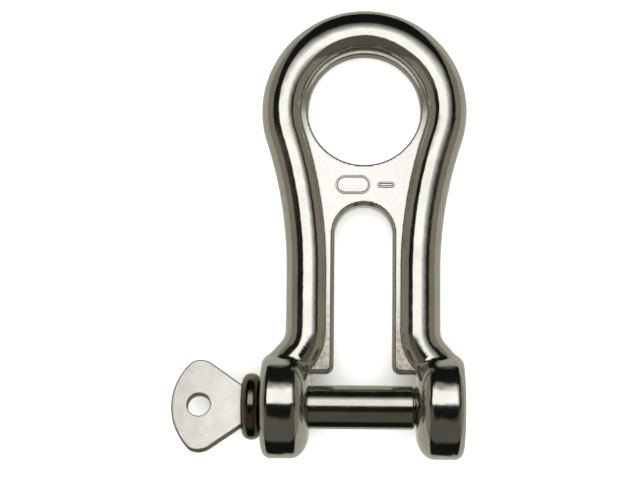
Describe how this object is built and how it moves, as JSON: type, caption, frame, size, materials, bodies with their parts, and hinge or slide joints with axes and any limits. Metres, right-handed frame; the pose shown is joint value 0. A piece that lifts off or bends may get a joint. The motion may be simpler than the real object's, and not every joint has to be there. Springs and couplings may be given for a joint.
{
  "type": "bow shackle",
  "caption": "Forged bow shackle with a webbed bow, a round eye, an open slot between its legs and a keyed screw pin.",
  "frame": {"origin": "centre of the jaw, on the pin's axis midway between the ears and in the mid-plane of the forging", "axes": "+X along the pin from its key to its tip, +Y from the pin to the crown of the bow, +Z square to the flat web"},
  "size_m": [0.0675, 0.1042, 0.0234],
  "materials": {
    "forged_stainless": "tumble polished",
    "turned_stainless": "polished",
    "punched_stainless": "satin"
  },
  "bodies": {
    "bow": {"bow_body": "forged_stainless"},
    "pin": {"screw_pin": "turned_stainless"},
    "key": {"key_head": "punched_stainless"}
  },
  "joints": [
    {"name": "pin_travel", "type": "slide", "parent": "bow", "child": "pin", "axis": [-1, 0, 0], "range_m": [0, 0.0375]},
    {"name": "pin_turn", "type": "hinge", "parent": "pin", "child": "key", "pos_m": [0, 0, 0], "axis": [-1, 0, 0], "range_deg": [0, 9000]}
  ],
  "couplings": [
    {"joint": "pin_turn", "follows": "pin_travel", "rad_per_m": 4188.8}
  ]
}
